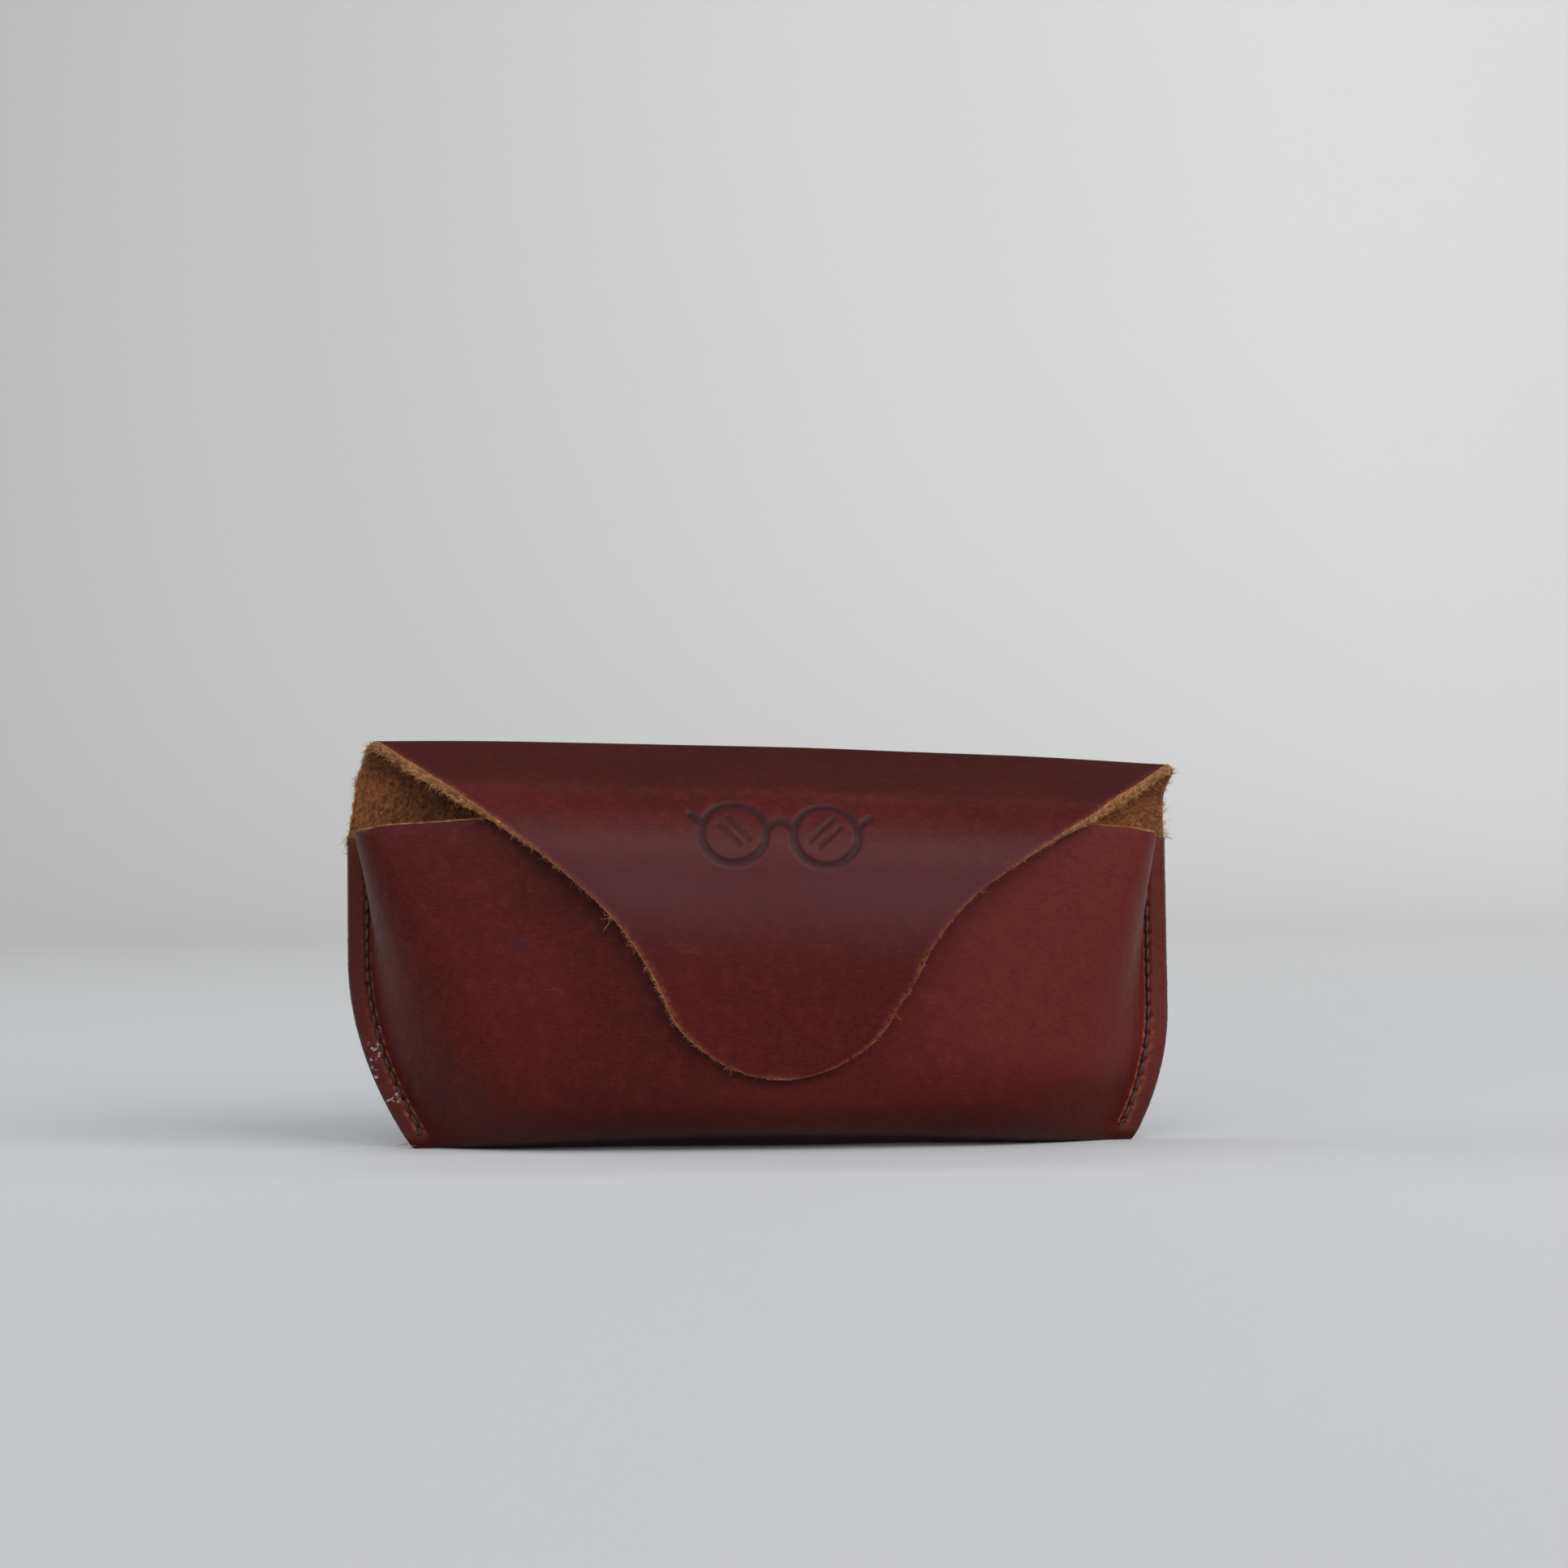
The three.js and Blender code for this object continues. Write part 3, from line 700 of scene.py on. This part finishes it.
    # loose hairs at the lowest left corner
    n = 26
    corner = stand(xyz(-flange_edge(-1.0, 0.8) + 0.6, -2.3, 1.2))
    roots = corner + rng.normal(0, 0.8, (n, 3)) * (1, 1, 0.6)
    away = unit(rng.normal(0, 0.5, (n, 3)) + (-0.9, -0.3, -0.2)) * (1, 1, 0.35)
    fuzz.append((roots, unit(away), rng.gamma(2.4, 0.6, n), rng.uniform(0.05, 0.08, n)))
    obj = make_object("pouch_leather", *with_strands(parts, fuzz))
    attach(obj, "pouch")
    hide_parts("back_panel", "bottom_fold", "front_panel", "side_wall_left", "side_wall_right")


# ---- roll and flap ----
def flap_sheet(q_rows, t_cols, joined_end):
    """The part of the tongue between two lengths; a joined end is left square for its neighbour."""
    q, t = q_rows[:, None], t_cols[None, :]

    def place(inset):
        wobble = 0.22 * np.sin(q / 2.9 + 2 * np.sign(t)) * np.sin(q / 7.7) * smooth(q, 14, 24)
        bevel = np.where(t < 0, 1.25, 1 - 0.6 * smooth(q, 45, 60))
        half = half_width(q) + wobble - inset * bevel
        sunk_q = q if joined_end else np.minimum(q, FLAP_TIP - inset)
        return axis_shift(q) + t * half, sunk_q + 0 * t

    x0, q0 = place(0.0)
    blank = xyz(x0, q0, 0 * x0)
    press = emblem(x0 - axis_shift(q0) - 0.3, q0)
    from_edge = np.minimum(half_width(q0) * (1 - np.abs(t)), FLAP_TIP - q0)
    marks = {
        "press": press,
        "worn": 0.5 * np.exp(-((from_edge / 0.9) ** 2)) * smooth(q0, 14, 20),
        "scuff": 0 * x0,
        "rim": 0 * x0,
        "warm": 0 * x0,
        # painted sheen: a reflection band across the flap below the roll
        "bloom": np.exp(-(((q0 - 62) / 11) ** 2)) * (0.8 + 0.2 * np.abs(np.sin(x0 / 19))),
        # painted shade: the flap darker just below the roll
        "shade": smooth(q0, 8, 18) * (1 - smooth(q0, 30, 46)),
    }

    def layer(depth, inset):
        x, along = place(inset)
        dent = PRESS_DEPTH * press if depth == 0 else PRESS_THROUGH * PRESS_DEPTH * press
        fade = smooth(from_edge, 0, 6)
        return stand(flap_point(x, along, depth + dent - ripple(x0, q0) * fade))

    def undyed(p):
        return np.zeros(len(p), bool)

    return leather_parts(layer, blank, marks, undyed, RAW)


def edge_fuzz(q_low, q_high, side, count, length, thickness, down=0.2):
    """Fibres that stand off one side of the tongue's cut edge."""
    q = rng.uniform(q_low, q_high, count)
    clump = 0.5 + 0.5 * np.sin(q * 1.9 + side) * np.sin(q * 0.7)
    q = q + 0.25 * rng.normal(size=count)
    q = np.clip(q, q_low, min(q_high, FLAP_TIP - 0.3))
    x = axis_shift(q) + side * (half_width(q) - 0.15)
    depth = rng.uniform(0.5, 2.0, count)
    roots = stand(flap_point(x, q, depth))
    ahead = stand(flap_point(axis_shift(q + 0.5) + side * (half_width(q + 0.5) - 0.15), q + 0.5, depth))
    tangent = unit(ahead - roots)
    outward = unit(stand(flap_point(x + side, q, depth)) - roots)
    outward = unit(outward - np.sum(outward * tangent, 1, keepdims=True) * tangent)
    toward_front = stand(flap_point(x, q, depth - 1)) - roots
    lean = rng.normal(0, 0.45, (count, 3)) + outward + down * tangent + 0.25 * toward_front
    lengths = length * rng.gamma(2.2, 0.45, count) * (0.4 + clump)
    return roots, unit(lean), lengths, thickness * rng.uniform(0.7, 1.3, count)


def hinge_ends(q_from, q_to, margin):
    """Blend ends in the frame: the chord of the roll between two lengths, drawn in by a margin."""
    a = stand(flap_point(np.array(0.0), np.array(q_from)))
    b = stand(flap_point(np.array(0.0), np.array(q_to)))
    d = unit(b - a)
    return (a + d * margin) * MM, (b - d * margin) * MM


def flap_leather():
    columns = spaced([(-1, 0.010), (-0.5, 0.0055), (0.5, 0.010), (1, None)])
    margin = LEATHER * math.sin(math.radians(28)) + 0.25
    # the first hinge
    rows = spaced([(0, 0.1), (0.6, 0.35), (FOLD_PART - 0.6, 0.1), (FOLD_PART, None)])
    parts = flap_sheet(rows, columns, True)
    fuzz = [edge_fuzz(0.2, FOLD_PART - 0.2, side, 260, 0.42, 0.055, 0) for side in (-1, 1)]
    fold = make_object("fold_leather", *with_strands(parts, fuzz))
    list(hinge_ends(0, FOLD_PART, margin))
    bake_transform(fold)
    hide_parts("flap_fold")
    # the second hinge and the tongue
    rows = spaced([(FOLD_PART, 0.1), (FOLD_PART + 0.6, 0.35), (16, 0.7), (40, 0.3), (61, 0.7), (99, 0.5),
                   (FLAP_TIP - 0.6, 0.6), (FLAP_TIP, None)])
    parts = flap_sheet(rows, columns, False)
    fuzz = [
        edge_fuzz(FOLD_PART, 46, -1, 2600, 0.60, 0.085),
        edge_fuzz(FOLD_PART, 46, 1, 2200, 0.56, 0.080),
        edge_fuzz(40, 84, -1, 900, 0.46, 0.07, 0.35),
        edge_fuzz(84, FLAP_TIP, -1, 420, 0.5, 0.07, 0.2),
        edge_fuzz(40, 80, 1, 420, 0.38, 0.045),
        edge_fuzz(80, FLAP_TIP, 1, 150, 0.42, 0.045),
    ]
    tongue = make_object("flap_leather", *with_strands(parts, fuzz))
    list(hinge_ends(FOLD_PART, FOLD_END, margin))
    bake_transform(tongue)
    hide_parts("flap")


# ---- saddle stitches ----
def ply_tube(path, radius, plies=3, pitch=1.6):
    """A twisted thread along a path, as points and faces."""
    path = np.asarray(path)
    tangent = unit(np.gradient(path, axis=0))
    side = unit(np.cross(tangent, (1.0, 0.2, 0.1)))
    other = np.cross(tangent, side)
    length = np.concatenate([[0], np.cumsum(np.linalg.norm(np.diff(path, axis=0), axis=1))])
    sides = 15
    angle = np.arange(sides) * 2 * math.pi / sides
    twist = angle[None] - length[:, None] * 2 * math.pi / pitch
    lobes = radius * (0.86 + 0.2 * np.abs(np.cos(plies / 2 * twist)))
    points = path[:, None] + lobes[..., None] * (
        side[:, None] * np.cos(angle)[None, :, None] + other[:, None] * np.sin(angle)[None, :, None])
    n = len(path)
    base = np.arange(n - 1)[:, None] * sides
    here, turned = base + np.arange(sides), base + (np.arange(sides) + 1) % sides
    faces = np.stack([here, turned, turned + sides, here + sides], -1).reshape(-1, 4)
    return points.reshape(-1, 3), faces


def seam_thread(name, sign):
    heights = STITCH_START + STITCH_PITCH * np.arange(STITCHES + 1)
    holes = xyz(sign * (flange_edge(float(sign), heights) - STITCH_INSET), -LAYERS / 2, heights)
    tubes = []
    share = np.linspace(0, 1, 13)
    for face in (-1, 1):
        out = np.array((0, face, 0))
        for k in range(STITCHES):
            a, b = holes[k], holes[k + 1]
            lift = LAYERS / 2 - 0.05 - 1.5 * (np.abs(2 * share - 1) ** 4) + rng.normal(0, 0.04)
            slant = 0.26 * (share - 0.5)
            path = lerp(a, b, share[:, None]) + lift[:, None] * out + xyz(slant, 0, 0)
            tubes.append(ply_tube(stand(path), THREAD_RADIUS))
    for k in range(THREAD_TAILS):
        start = holes[0] + np.array((0, -LAYERS / 2 + 0.1, 0))
        drift = np.array((-sign * rng.uniform(0.3, 1.0) - 0.4 * k, -0.7, -0.9 - 0.4 * k))
        path = start + np.linspace(0, 1, 9)[:, None] ** 0.8 * drift + 0.1 * rng.normal(size=(9, 3))
        tubes.append(ply_tube(stand(path), TAIL_RADIUS))
    starts = np.cumsum([0] + [len(p) for p, _ in tubes])
    points = np.vstack([p for p, _ in tubes])
    faces = np.vstack([f + start for (_, f), start in zip(tubes, starts)])
    obj = make_object(name + "_plies", points, faces, [THREAD], np.zeros(len(faces)), {"blank": points})
    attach(obj, "pouch")
    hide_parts(name)


THREAD = waxed_thread()

pouch_leather()
flap_leather()
seam_thread("seam_thread_left", -1)
seam_thread("seam_thread_right", 1)


# ---- studio: a pale sweep, soft light, the camera ----
SWEEP_BACK = 2.5
SWEEP_RADIUS = 1.3
SWEEP_HALF = 2.4
SWEEP_FRONT = -1.6


def studio_sweep():
    m = Shader("paper_sweep")
    place = m.add("TexCoord", out="Object")
    split = m.tree.nodes.new("ShaderNodeSeparateXYZ")
    m.put(split.inputs[0], place)
    # painted light and shade: the paper lighter towards the right and darker towards the camera, the wall
    # lighter towards the right
    paper = m.mix(m.span(split.outputs[0], -0.25, 0.3), rgb(0.473, 0.481, 0.494), rgb(0.530, 0.538, 0.550))
    paper = m.mix(m.span(split.outputs[1], -0.05, -0.5), paper, rgb(0.425, 0.43, 0.445))
    wall = m.mix(m.span(split.outputs[0], -0.5, 0.5), rgb(0.465, 0.465, 0.453), rgb(0.615, 0.612, 0.600))
    colour = m.mix(m.span(split.outputs[1], 0.3, 1.05), paper, wall)
    colour = m.mix(m.span(m.noise(place, 3, 3), 0.3, 0.7, 0, 0.06), colour, rgb(0.5, 0.5, 0.52))
    speck = m.span(m.add("TexVoronoi", {"Vector": place, "Scale": 16.0}), 0.0, 0.012, 0.35, 0)
    colour = m.mix(speck, colour, rgb(0.2, 0.17, 0.15))
    normal = m.bump(m.noise(place, 900, 4), 0.0002, 0.15)
    material = m.finish(Base_Color=colour, Roughness=0.85, Normal=normal, Specular_IOR_Level=0.25)
    arc = np.linspace(0, math.radians(72), 24)
    arc_y = SWEEP_BACK - SWEEP_RADIUS + SWEEP_RADIUS * np.sin(arc)
    profile_y = np.concatenate([[SWEEP_FRONT, 0, 0.6], arc_y])
    profile_z = np.concatenate([[0, 0, 0], SWEEP_RADIUS * (1 - np.cos(arc))])
    x = np.array([-SWEEP_HALF, SWEEP_HALF])
    points = xyz(x[None, :], profile_y[:, None], profile_z[:, None]) / MM
    faces = quads(len(profile_y), 2)
    sweep = make_object("studio_sweep", points.reshape(-1, 3), faces, [material], np.zeros(len(faces)), {})


# name, place, target, size, power and colour
LIGHTS = [
    ("window_right", (1.3, -1.3, 0.9), (0, 0.1, 0.1), (1.7, 1.3), 44, (1, 0.985, 0.97)),
    ("window_front", (-0.4, -1.9, 1.0), (0, 0.1, 0.05), (1.8, 1.0), 22, (0.97, 0.98, 1)),
    ("backdrop_wash", (0.5, 0.7, 1.5), (0.25, 2.3, 0.1), (2.2, 0.5), 12, (1, 1, 0.99)),
    ("window_left", (-1.4, 0.1, 0.5), (0, 0, 0.05), (1.3, 1.0), 14, (0.95, 0.97, 1)),
]
ROOM_REACH = (0.35, -0.45)  # over this stretch of the view's Y the room goes from dim to bright
ROOM_STRENGTH = (0.10, 0.60)


def area_light(name, place, target, size, power, colour):
    light = bpy.data.lights.new(name, "AREA")
    light.shape = "RECTANGLE"
    light.size, light.size_y = size
    light.energy = power
    light.color = colour
    obj = bpy.data.objects.new(name, light)
    bpy.context.scene.collection.objects.link(obj)
    obj.location = place
    obj.rotation_euler = (Vector(target) - Vector(place)).to_track_quat("-Z", "Y").to_euler()


def studio_light():
    for light in LIGHTS:
        area_light(*light)
    world = bpy.data.worlds.new("soft_room")
    world.use_nodes = True
    tree = world.node_tree
    background = tree.nodes["Background"]
    background.inputs[0].default_value = rgb(0.93, 0.95, 1.0)
    # the room is bright in front of the case and dim behind it
    place = tree.nodes.new("ShaderNodeTexCoord")
    split = tree.nodes.new("ShaderNodeSeparateXYZ")
    fade = tree.nodes.new("ShaderNodeMapRange")
    tree.links.new(place.outputs["Generated"], split.inputs[0])
    tree.links.new(split.outputs[1], fade.inputs["Value"])
    for key, value in zip(("From Min", "From Max", "To Min", "To Max"), ROOM_REACH + ROOM_STRENGTH):
        fade.inputs[key].default_value = value
    tree.links.new(fade.outputs[0], background.inputs[1])
    bpy.context.scene.world = world


CAMERA_PLACE = (-0.03665, -0.8485, 0.0756)
CAMERA_YAW = math.radians(2.75)
CAMERA_ROLL = math.radians(0.5)
CAMERA_LENS = 94.23
CAMERA_SENSOR = 36
CAMERA_NEAR = 0.01


def camera():
    data = bpy.data.cameras.new("camera")
    data.lens = CAMERA_LENS
    data.sensor_width = CAMERA_SENSOR
    data.clip_start = CAMERA_NEAR
    obj = bpy.data.objects.new("camera", data)
    bpy.context.scene.collection.objects.link(obj)
    turn = Matrix.Rotation(-CAMERA_YAW, 4, "Z") @ Matrix.Rotation(math.pi / 2, 4, "X")
    obj.matrix_world = Matrix.Translation(CAMERA_PLACE) @ turn @ Matrix.Rotation(-CAMERA_ROLL, 4, "Z")
    bpy.context.scene.camera = obj
    bpy.context.scene.view_settings.view_transform = "Standard"


studio_sweep()
studio_light()
camera()
